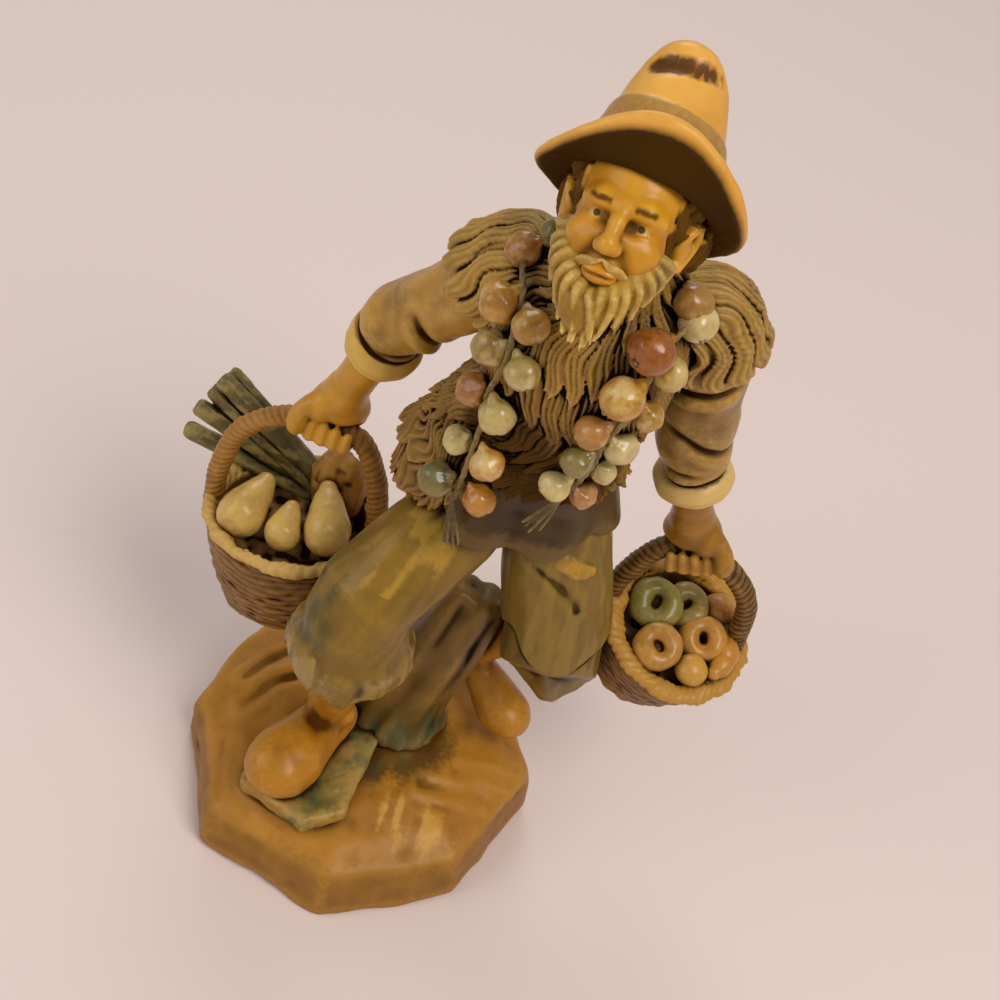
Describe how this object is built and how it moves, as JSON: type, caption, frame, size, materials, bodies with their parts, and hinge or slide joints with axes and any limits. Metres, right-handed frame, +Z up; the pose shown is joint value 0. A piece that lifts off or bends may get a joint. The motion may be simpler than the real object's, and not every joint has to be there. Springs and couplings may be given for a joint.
{
  "type": "nativity figurine",
  "caption": "Painted crib figurine of a bearded carrier in hat and fleece vest, with two loaded baskets and strings of onions, striding over a rock base.",
  "frame": {"origin": "on the flat underside of the rock base, 2 mm from its middle, under the figure", "axes": "+Z up, the figure faces -Y, its right hand is on the -X side"},
  "size_m": [0.1222, 0.0777, 0.1912],
  "materials": {
    "rock": "satin hand-painted ochre",
    "stone": "satin speckled paint",
    "stump": "matt brown and green wash",
    "skin": "satin flesh paint with a brown wash",
    "wicker": "satin brown paint with pale edges",
    "sleeve_cloth": "satin tan paint with a brown wash",
    "olive_cloth": "satin olive paint, grey at the hem",
    "khaki_cloth": "satin khaki paint",
    "tunic_cloth": "satin dark brown paint",
    "fleece": "satin tan paint with a dark wash in the locks",
    "hair": "satin straw paint with a dark wash",
    "felt": "satin golden paint",
    "cord": "matt brown paint",
    "onion": "glossy paint in tan, orange, yellow and white",
    "aubergine": "glossy cream paint",
    "crust": "satin baked brown paint",
    "herb": "satin grey-green paint",
    "leek": "satin grey-green paint"
  },
  "bodies": {
    "root": {"aubergine_1": "aubergine", "aubergine_2": "aubergine", "aubergine_3": "aubergine", "beard": "hair", "bread_ring_1": "crust", "bread_ring_2": "crust", "bread_twist": "crust", "bun_1": "crust", "bun_2": "crust", "fleece_vest": "fleece", "hat": "felt", "head": "skin", "herb_ring_1": "herb", "herb_ring_2": "herb", "leeks": "leek", "left_basket": "wicker", "left_basket_handle": "wicker", "left_foot": "skin", "left_hand": "skin", "left_shoulder_cap": "fleece", "left_sleeve": "sleeve_cloth", "left_string_bulb_1": "onion", "left_string_bulb_10": "onion", "left_string_bulb_11": "onion", "left_string_bulb_12": "onion", "left_string_bulb_2": "onion", "left_string_bulb_3": "onion", "left_string_bulb_4": "onion", "left_string_bulb_5": "onion", "left_string_bulb_6": "onion", "left_string_bulb_7": "onion", "left_string_bulb_8": "onion", "left_string_bulb_9": "onion", "left_string_cord": "cord", "left_trouser_leg": "khaki_cloth", "loaf": "crust", "right_basket": "wicker", "right_basket_handle": "wicker", "right_foot": "skin", "right_hand": "skin", "right_shoulder_cap": "fleece", "right_sleeve": "sleeve_cloth", "right_string_bulb_1": "onion", "right_string_bulb_10": "onion", "right_string_bulb_11": "onion", "right_string_bulb_12": "onion", "right_string_bulb_2": "onion", "right_string_bulb_3": "onion", "right_string_bulb_4": "onion", "right_string_bulb_5": "onion", "right_string_bulb_6": "onion", "right_string_bulb_7": "onion", "right_string_bulb_8": "onion", "right_string_bulb_9": "onion", "right_string_cord": "cord", "right_trouser_leg": "olive_cloth", "rock_base": "rock", "stepping_stone": "stone", "support_stump": "stump", "tunic": "tunic_cloth"}
  },
  "joints": []
}
